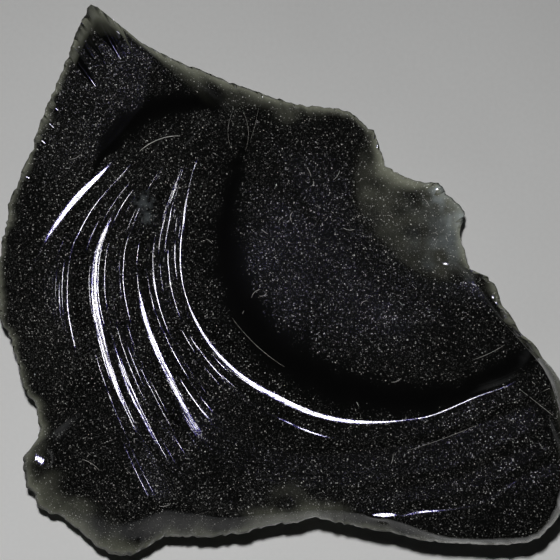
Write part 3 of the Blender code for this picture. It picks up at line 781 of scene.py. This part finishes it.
def stone_mesh(settings):
    """The whole stone: middle, upper rows, edge, under rows and resting middle."""
    edge = edge_points(settings.chipping / MM)
    above = upper_surface(edge)
    below = under_surface(edge)
    middle = np.array([[*HOLLOW, upper_height(*np.array([HOLLOW]).T)[0], FAR_INSIDE]])
    rest = np.array([[*REST, 0.0, FAR_INSIDE]])
    brim = np.column_stack([edge, np.zeros(len(edge))])
    rows = [np.stack(part, -1).reshape(-1, 4) for part in (above, below)]
    points = np.concatenate([middle, rows[0], brim, rows[1], rest])
    x, y, height, inward = points.T
    count = (len(points) - 2) // SPOKES
    mesh = bpy.data.meshes.new("obsidian_stone")
    mesh.from_pydata((points[:, :3] * MM).tolist(), [], joined_rows(count, SPOKES))
    top = np.arange(len(points)) <= len(rows[0]) + SPOKES
    bearing = polar(x, y, HOLLOW)[1]
    # Milky patches: crushed glass, and a painted highlight of its blue-white glint.
    milky_glint = patches(x, y, MILKY_GLINT_PATCHES) * top
    dust = np.where(top, dust_share(x, y), UNDER_DUST)
    outward, along, strength = flow_lines(x, y)
    store(mesh, "glow", "FLOAT", "value", glow_share(x, y, inward, bearing))
    store(mesh, "milky_glint", "FLOAT", "value", milky_glint)
    store(mesh, "dust", "FLOAT", "value", dust)
    flow = np.column_stack([outward, along, strength * top])
    store(mesh, "flow", "FLOAT_VECTOR", "vector", flow)
    mesh.shade_smooth()
    return mesh


def lying_height(x, y, edge):
    """Height of the upper face at any place: the upper height less the drop to the edge,
    both read between the spokes."""
    radius, bearing = polar(x, y, HOLLOW)
    turn, length = spokes(edge, HOLLOW, 0)
    reach, drop = (np.interp(np.radians(bearing), turn, values, period=2 * np.pi)
                   for values in (length, brim_drop(edge)[1]))
    fall = edge_fall(radius / reach, bearing)
    return upper_height(x, y) - chip_depth(x, y) - drop * fall


def lint_and_glint_seam_mesh(settings):
    """Loose fibres, and pale strips along hairline cracks that paint the cracks' glints, on
    the upper face:
    each is an arc of a circle, swept by a small ring and laid on the height of the stone."""
    draw = np.random.default_rng(SEED)
    count = settings.lint_count
    turn = draw.uniform(0, 360, count)
    distance = draw.uniform(0.1, 0.95, count) * around(FALL_START, turn)
    edge = edge_points(settings.chipping / MM)
    bearing, length = spokes(edge, HOLLOW, 0)
    limit = 0.9 * np.interp(np.radians(turn), bearing, length, period=2 * np.pi)
    reach = np.minimum(distance * around(RIM, turn) * LINT_SPREAD, limit)
    loose = np.column_stack([
        *from_polar(HOLLOW, reach, np.radians(turn)),
        draw.uniform(0, 360, count),
        draw.uniform(*LINT_LENGTH, count),
        draw.uniform(-LINT_BEND, LINT_BEND, count),
    ])
    fibres = np.concatenate([loose, LINT_SEEN])
    fibres = np.column_stack([fibres, np.full(len(fibres), LINT_THICKNESS)])
    x, y, heading, length, bend, thickness = np.concatenate([fibres, GLINT_SEAMS]).T[:, :, None]
    t = np.linspace(-0.5, 0.5, LINT_POINTS)
    course = np.radians(heading + bend * t)
    step = length / (LINT_POINTS - 1)
    px = np.cumsum(step * np.cos(course), axis=1)
    py = np.cumsum(step * np.sin(course), axis=1)
    px = x + px - px.mean(axis=1, keepdims=True)
    py = y + py - py.mean(axis=1, keepdims=True)
    size = thickness / 2 * (0.25 + 0.75 * np.sqrt(1 - (1.96 * t) ** 2))
    pz = lying_height(px, py, edge) + size * 0.8
    round_ = np.linspace(0, 2 * np.pi, LINT_SIDES, endpoint=False)
    side = size[..., None] * np.cos(round_)
    points = np.stack([
        px[..., None] - side * np.sin(course)[..., None],
        py[..., None] + side * np.cos(course)[..., None],
        pz[..., None] + size[..., None] * np.sin(round_),
    ], -1)
    number = np.arange(points[..., 0].size).reshape(points.shape[:3])
    here, ahead = number[:, :-1], number[:, 1:]
    quads = [here, ahead, np.roll(ahead, -1, 2), np.roll(here, -1, 2)]
    faces = np.stack(quads, -1).reshape(-1, 4)[:, ::-1].tolist()
    faces += number[:, 0].tolist() + number[:, -1, ::-1].tolist()
    mesh = bpy.data.meshes.new("lint")
    mesh.from_pydata((points.reshape(-1, 3) * MM).tolist(), [], faces)
    mesh.shade_smooth()
    return mesh


# --- Materials ---


def feed(node, inputs):
    """Sets inputs of a node: each to a value, or to the socket it is fed by."""
    for name, value in inputs.items():
        if isinstance(value, bpy.types.NodeSocket):
            node.id_data.links.new(value, node.inputs[name])
        else:
            node.inputs[name].default_value = value


def add_node(tree, kind, inputs=None, **settings):
    """Adds a node with its settings and its inputs."""
    node = tree.nodes.new(kind)
    for name, value in settings.items():
        setattr(node, name, value)
    feed(node, inputs or {})
    return node


def new_material(name):
    """A material, its nodes and its shader."""
    material = bpy.data.materials.new(name)
    material.use_nodes = True
    return material, material.node_tree, material.node_tree.nodes["Principled BSDF"]


def noise(tree, place, scale, detail=2.0, roughness=0.5):
    """Soft random values, about so many waves in a metre."""
    inputs = {"Vector": place, "Scale": scale, "Detail": detail, "Roughness": roughness}
    return add_node(tree, "ShaderNodeTexNoise", inputs).outputs["Fac"]


def math(tree, operation, a, b=0.0, c=0.0, clamp=False):
    """The result of a sum on one or more numbers or sockets."""
    inputs = {0: a, 1: b, 2: c}
    node = add_node(tree, "ShaderNodeMath", inputs, operation=operation, use_clamp=clamp)
    return node.outputs[0]


def faded(tree, value, start, end):
    """0 before the start and 1 past the end, with a smooth step between them."""
    return add_node(tree, "ShaderNodeMapRange", {0: value, 1: start, 2: end},
                    interpolation_type="SMOOTHSTEP").outputs[0]


def mixed(tree, factor, a, b):
    """Two colours mixed by a factor."""
    inputs = {0: factor, 6: a, 7: b}
    return add_node(tree, "ShaderNodeMix", inputs, data_type="RGBA").outputs[2]


def dust_specks(tree, place, amount, cell, rate, largest, power):
    """Specks of one size: a cell of the pattern holds a speck where its own random
    number, raised by the amount of dust, passes the rate. A second random number, to
    the given power, is how bright it is."""
    inputs = {"Vector": place, "Scale": 1 / (cell * MM)}
    cells = add_node(tree, "ShaderNodeTexVoronoi", inputs, voronoi_dimensions="3D")
    lot = add_node(tree, "ShaderNodeSeparateColor", {"Color": cells.outputs["Color"]})
    chance = math(tree, "MULTIPLY_ADD", lot.outputs[0], amount, -rate)
    radius = math(tree, "MINIMUM", chance, largest)
    depth = math(tree, "SUBTRACT", radius, cells.outputs["Distance"])
    cover = math(tree, "MULTIPLY", depth, 2.5 / largest, clamp=True)
    return math(tree, "MULTIPLY", cover, math(tree, "POWER", lot.outputs[1], power))


def obsidian_material(settings):
    """Obsidian, broken: black volcanic glass whose fresh fractures shine like wet tar.
    Thin edges glow a smoky olive grey: the light that thin glass lets through from the card is
    painted into its colour. Pale rock dust lies on it as specks of 0.1 to 0.2 mm, and takes
    the shine away where it lies."""
    material, tree, shader = new_material("obsidian_glass_fractured")
    place = add_node(tree, "ShaderNodeTexCoord").outputs["Object"]
    carried = {
        name: add_node(tree, "ShaderNodeAttribute", attribute_name=name)
        for name in ("glow", "milky_glint", "dust", "flow")
    }
    glow, milky_glint, dust = (carried[name].outputs["Fac"] for name in ("glow", "milky_glint", "dust"))

    # Painted light through thin glass: the glow mixes in the thin colour, broken by smoky
    # veils about 2 mm across.
    veil = noise(tree, place, 500.0, 4.0, 0.6)
    veiled_glow = math(tree, "MULTIPLY_ADD", veil, 0.9, 0.5)
    veiled_glow = math(tree, "MULTIPLY", veiled_glow, glow, clamp=True)
    glass = mixed(tree, veiled_glow, settings.glass_colour, settings.thin_glow_colour)
    # Milky spots: a pale bluish colour for crushed glass, and a painted highlight of the
    # blue-white glint on it.
    milky_glint_mask = math(tree, "MULTIPLY_ADD", veil, 2.2, -0.5)
    milky_glint_mask = math(tree, "MULTIPLY", milky_glint_mask, milky_glint, clamp=True)
    glass = mixed(tree, milky_glint_mask, glass, settings.milky_glint_colour)

    # Dust gathers in drifts about 4 mm across, and each speck is a little bent.
    drift = math(tree, "MULTIPLY_ADD", noise(tree, place, 260.0, 3.0), 0.9, 0.55)
    amount = math(tree, "MULTIPLY", drift, dust)
    amount = math(tree, "MULTIPLY", amount, settings.dust_amount)
    bend = add_node(tree, "ShaderNodeTexNoise",
                    {"Vector": place, "Scale": 5200.0, "Detail": 1.0})
    bent = add_node(tree, "ShaderNodeVectorMath",
                    {0: bend.outputs["Color"], 1: (SPECK_BEND * MM,) * 3, 2: place},
                    operation="MULTIPLY_ADD").outputs[0]
    haze = dust_specks(tree, bent, amount, *HAZE_SPECKS)
    fine = dust_specks(tree, bent, amount, *FINE_SPECKS)
    coarse = dust_specks(tree, bent, amount, *COARSE_SPECKS)
    fine = math(tree, "MULTIPLY", fine, FINE_COVER)
    fine = math(tree, "MULTIPLY_ADD", haze, HAZE_COVER, fine)
    film = math(tree, "MULTIPLY", amount, FILM_COVER)
    specks = math(tree, "MAXIMUM", fine, coarse)
    cover = math(tree, "ADD", specks, film, clamp=True)
    colour = mixed(tree, cover, glass, settings.dust_colour)
    dull = math(tree, "MULTIPLY", specks, 3.0, clamp=True)
    rough = math(tree, "MULTIPLY_ADD", dull, 0.5, settings.glass_roughness)
    shine = math(tree, "MULTIPLY_ADD", dull, -0.45, 0.5)
    feed(shader, {"Base Color": colour, "Roughness": rough, "Specular IOR Level": shine,
                  "IOR": 1.49})

    # The height of the fine relief, in millimetres: the specks, the drawn-out striations
    # that run with the ripples, and the grain over both.
    flow = add_node(tree, "ShaderNodeSeparateXYZ", {0: carried["flow"].outputs["Vector"]})
    across, along, drawn = flow.outputs
    relief = math(tree, "MULTIPLY", specks, SPECK_HEIGHT)
    for wide, far, least, tall in STRIATIONS:
        spot = {0: math(tree, "MULTIPLY", across, wide), 1: math(tree, "MULTIPLY", along, far)}
        spot = add_node(tree, "ShaderNodeCombineXYZ", spot).outputs[0]
        lines = math(tree, "SUBTRACT", noise(tree, spot, 1.0), least, clamp=True)
        lines = math(tree, "MULTIPLY", lines, math(tree, "MULTIPLY", drawn, tall))
        relief = math(tree, "ADD", lines, relief)
    grain = noise(tree, place, GRAIN[0], 1.0)
    relief = math(tree, "MULTIPLY_ADD", grain, GRAIN[1], relief)
    bump = add_node(tree, "ShaderNodeBump", {"Height": relief, "Distance": MM})
    feed(shader, {"Normal": bump.outputs[0]})
    return material


def lint_and_glint_material(settings):
    """Cotton lint: fine matt fibres, off-white. The pale strips that paint the glints of
    hairline cracks wear it too.
    """
    material, tree, shader = new_material("cotton_lint_and_glint_seams")
    place = add_node(tree, "ShaderNodeTexCoord").outputs["Object"]
    soil = noise(tree, place, 900.0)
    colour = mixed(tree, soil, settings.lint_and_glint_colour, settings.soiled_lint_and_glint_colour)
    feed(shader, {"Base Color": colour, "Roughness": 0.8, "Sheen Weight": 0.3})
    return material


def paper_material(settings):
    """Matt grey card with a faint cloudiness and tooth, and painted shade that darkens it
    towards +X and +Y.
    Far from the stone it glows as a lit cove does, so that it stays pale where the flash no
    longer reaches."""
    material, tree, shader = new_material("grey_card_matt")
    place = add_node(tree, "ShaderNodeTexCoord").outputs["Object"]
    cloud = noise(tree, place, 45.0)
    tooth = noise(tree, place, 1800.0)
    shade = math(tree, "MULTIPLY_ADD", tooth, CARD_TOOTH, CARD_SHADE)
    shade = math(tree, "MULTIPLY_ADD", cloud, CARD_CLOUDS, shade)
    where = add_node(tree, "ShaderNodeSeparateXYZ", {0: place})
    # Painted shade: the card darkens along X and Y.
    shade = math(tree, "MULTIPLY_ADD", where.outputs[0], CARD_PAINTED_FALL[0], shade)
    shade = math(tree, "MULTIPLY_ADD", where.outputs[1], CARD_PAINTED_FALL[1], shade, clamp=True)
    colour = mixed(tree, shade, settings.card_painted_lit, settings.card_painted_shaded)
    away = add_node(tree, "ShaderNodeVectorMath", {0: place}, operation="LENGTH")
    cove = faded(tree, away.outputs["Value"], COVE_START, COVE_END)
    cove = math(tree, "MULTIPLY", cove, COVE_GLOW)
    feed(shader, {"Base Color": colour, "Roughness": 0.95, "Specular IOR Level": 0.1,
                  "Emission Color": (1, 1, 1, 1), "Emission Strength": cove})
    return material


# --- Settings ---


def number_setting(name, description, default, least, most, **kind):
    """A setting that holds a number between two limits."""
    return FloatProperty(name=name, description=description, default=default, min=least,
                         max=most, **kind)


def colour_setting(name, description, hex_colour):
    """A setting that holds a colour."""
    return FloatVectorProperty(name=name, description=description, subtype="COLOR", size=4,
                               min=0, max=1, default=linear(hex_colour))


class StoneSettings(bpy.types.PropertyGroup):
    """Sizes and colours of the stone and of the lint on it."""

    chipping: number_setting(
        "Edge Chipping", "How ragged the broken edge is", MM, 0, 3 * MM, unit="LENGTH")
    glass_roughness: number_setting(
        "Glass Roughness", "Roughness of a clean fracture", 0.08, 0, 1, subtype="FACTOR")
    dust_amount: number_setting(
        "Dust", "How much dust lies on the upper face", 1, 0, 2, subtype="FACTOR")
    lint_count: IntProperty(
        name="Lint", description="Number of loose fibres", default=LINT_COUNT, min=0, max=200)
    glass_colour: colour_setting("Glass", "Colour of thick glass", "#060606")
    # Painted light: the colour in which light through thin glass is painted.
    thin_glow_colour: colour_setting("Thin Glass", "Colour of thin edges over the card", "#838576")
    # The milky colour paints crushed glass and, as a painted highlight, its blue-white glint.
    milky_glint_colour: colour_setting("Crushed Glass", "Colour of bruised spots", "#A6B0B4")
    dust_colour: colour_setting("Dust", "Colour of the rock dust", "#E4E3DE")
    # The lint colours also paint the glints of hairline cracks, on the strips laid along them.
    lint_and_glint_colour: colour_setting("Lint", "Colour of clean lint", "#D8D6CF")
    soiled_lint_and_glint_colour: colour_setting("Soiled Lint", "Colour of grey lint", "#8C8A85")


class StageSettings(bpy.types.PropertyGroup):
    """The card and the light."""

    card_size: number_setting(
        "Card Size", "Side of the square card", 3, 0.2, 10, unit="LENGTH")
    flash_power: number_setting(
        "Flash", "Power of the flash on matt surfaces", 0.58, 0, 10, unit="POWER")
    flash_size: number_setting(
        "Flash Size", "Width of the flash", 0.018, 0.001, 0.2, unit="LENGTH")
    glint_power: number_setting(
        "Glint", "Power of the flash as the glass mirrors it", 0.34, 0, 10, unit="POWER")
    glint_size: number_setting(
        "Glint Size", "Width of the flash as the glass mirrors it", 0.034, 0.001, 0.2,
        unit="LENGTH")
    fringe_power: number_setting(
        "Fringe", "Power of the violet fringe round the glint", 0.1, 0, 10, unit="POWER")
    fringe_size: number_setting(
        "Fringe Size", "Width of the violet fringe", 0.052, 0.001, 0.3, unit="LENGTH")
    # The card is mixed between these two tones: a lit one and one in painted shade.
    card_painted_lit: colour_setting("Card, Light", "Card where it is lightest", "#F0F0EF")
    card_painted_shaded: colour_setting("Card, Dark", "Card where it is darkest", "#C0C0BF")
    fringe_colour: colour_setting("Fringe", "Colour of the fringe", "#6A52FF")
    tent_colour: colour_setting("Tent", "Colour of the tent round the card", "#C4C6C8")


# --- Operators ---


def placed(name, mesh, material):
    """The mesh as an object of the scene, at the origin, with its material."""
    if not len(mesh.polygons):
        raise RuntimeError(f"{name} has no faces")
    piece = bpy.data.objects.new(name, mesh)
    bpy.context.scene.collection.objects.link(piece)
    mesh.materials.append(material)
    return piece


class OBSIDIAN_OT_stone(bpy.types.Operator):
    """Build the stone with its ripples, thin edges and dust"""

    bl_idname = "obsidian.stone"
    bl_label = "Build Stone"

    def execute(self, context):
        settings = context.scene.obsidian_stone
        piece = placed("obsidian_stone", stone_mesh(settings), obsidian_material(settings))
        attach(piece, "root")
        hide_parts("obsidian_chunk")
        return {"FINISHED"}


class OBSIDIAN_OT_lint(bpy.types.Operator):
    """Lay loose fibres of lint on the stone, and pale strips that paint the glints of hairline
    cracks
    """

    bl_idname = "obsidian.lint"
    bl_label = "Lay Lint"

    def execute(self, context):
        settings = context.scene.obsidian_stone
        # The lint object also holds the pale strips that paint the glints of hairline cracks.
        piece = placed("lint", lint_and_glint_seam_mesh(settings), lint_and_glint_material(settings))
        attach(piece, "root")
        return {"FINISHED"}


def disc_light(name, spot, size, power, colour=(1, 1, 1)):
    """A round lamp that faces the middle of the card."""
    lamp = bpy.data.lights.new(name, "AREA")
    lamp.shape = "DISK"
    lamp.size = size
    lamp.energy = power
    lamp.color = colour
    stand = bpy.data.objects.new(name, lamp)
    stand.location = spot
    stand.rotation_euler = (-Vector(spot)).to_track_quat("-Z", "Y").to_euler()
    bpy.context.scene.collection.objects.link(stand)
    return stand


def tent(scene, colour):
    """A tent round the card: pale low on the horizon, with a window on the +Y side, and
    dark overhead, so that flat glass stays black from above. It hardly lights matt
    surfaces, as the flash outshines it."""
    world = bpy.data.worlds.new("tent")
    world.use_nodes = True
    tree = world.node_tree
    sky = tree.nodes["Background"]
    way = add_node(tree, "ShaderNodeTexCoord").outputs["Generated"]
    axes = add_node(tree, "ShaderNodeSeparateXYZ", {0: way}).outputs
    low = math(tree, "SUBTRACT", 1.0, faded(tree, axes[2], *TENT_LOW))
    window = math(tree, "SUBTRACT", 1.0, faded(tree, axes[2], *TENT_WINDOW))
    window = math(tree, "MULTIPLY", window, faded(tree, axes[1], *TENT_WINDOW_SIDE))
    pale = math(tree, "MAXIMUM", low, window)
    ray = add_node(tree, "ShaderNodeLightPath")
    matt = math(tree, "MULTIPLY", ray.outputs["Is Diffuse Ray"], TENT_LESS_ON_MATT)
    seen = math(tree, "SUBTRACT", 1.0, matt)
    pale = math(tree, "MULTIPLY", pale, TENT_STRENGTH)
    feed(sky, {"Color": colour, "Strength": math(tree, "MULTIPLY", pale, seen)})
    scene.world = world


class OBSIDIAN_OT_stage(bpy.types.Operator):
    """Set the card, the flash, the tent and the camera"""

    bl_idname = "obsidian.stage"
    bl_label = "Set Stage"

    def execute(self, context):
        scene = context.scene
        settings = scene.obsidian_stage
        half = settings.card_size / 2
        corners = [(-half, -half, 0), (half, -half, 0), (half, half, 0), (-half, half, 0)]
        card = bpy.data.meshes.new("card")
        card.from_pydata(corners, [], [(0, 1, 2, 3)])
        placed("card", card, paper_material(settings))

        x, y, z = (v * MM for v in CAMERA_SPOT)
        spot = (x + FLASH_OFFSET[0] * MM, y + FLASH_OFFSET[1] * MM, z)
        flash = disc_light("flash", spot, settings.flash_size, settings.flash_power)
        flash.visible_glossy = False
        glint = disc_light("glint", spot, settings.glint_size, settings.glint_power)
        glint.visible_diffuse = False
        fringe = disc_light("fringe", spot, settings.fringe_size, settings.fringe_power,
                            settings.fringe_colour[:3])
        fringe.visible_diffuse = False
        tent(scene, settings.tent_colour)

        lens = bpy.data.cameras.new("camera")
        lens.sensor_width = 36.0
        lens.lens = 18.0 / np.tan(np.radians(FIELD_OF_VIEW / 2))
        lens.clip_start = 0.01
        camera = bpy.data.objects.new("camera", lens)
        camera.location = (x, y, z)
        scene.collection.objects.link(camera)
        scene.camera = camera
        scene.view_settings.view_transform = "Standard"
        return {"FINISHED"}


class OBSIDIAN_PT_panel(bpy.types.Panel):
    """Sizes, colours and the steps that build the scene"""

    bl_label = "Obsidian Chunk"
    bl_idname = "OBSIDIAN_PT_panel"
    bl_space_type = "VIEW_3D"
    bl_region_type = "UI"
    bl_category = "Obsidian"

    def draw(self, context):
        for settings in (context.scene.obsidian_stone, context.scene.obsidian_stage):
            column = self.layout.column()
            for name in settings.__annotations__:
                column.prop(settings, name)
        for operator in (OBSIDIAN_OT_stone, OBSIDIAN_OT_lint, OBSIDIAN_OT_stage):
            self.layout.operator(operator.bl_idname)


CLASSES = (StoneSettings, StageSettings, OBSIDIAN_OT_stone, OBSIDIAN_OT_lint,
           OBSIDIAN_OT_stage, OBSIDIAN_PT_panel)


def register():
    for kind in CLASSES:
        bpy.utils.register_class(kind)
    bpy.types.Scene.obsidian_stone = PointerProperty(type=StoneSettings)
    bpy.types.Scene.obsidian_stage = PointerProperty(type=StageSettings)


def unregister():
    del bpy.types.Scene.obsidian_stage
    del bpy.types.Scene.obsidian_stone
    for kind in reversed(CLASSES):
        bpy.utils.unregister_class(kind)


def main():
    register()
    bpy.ops.obsidian.stone()
    bpy.ops.obsidian.lint()
    bpy.ops.obsidian.stage()


if __name__ == "__main__":
    main()
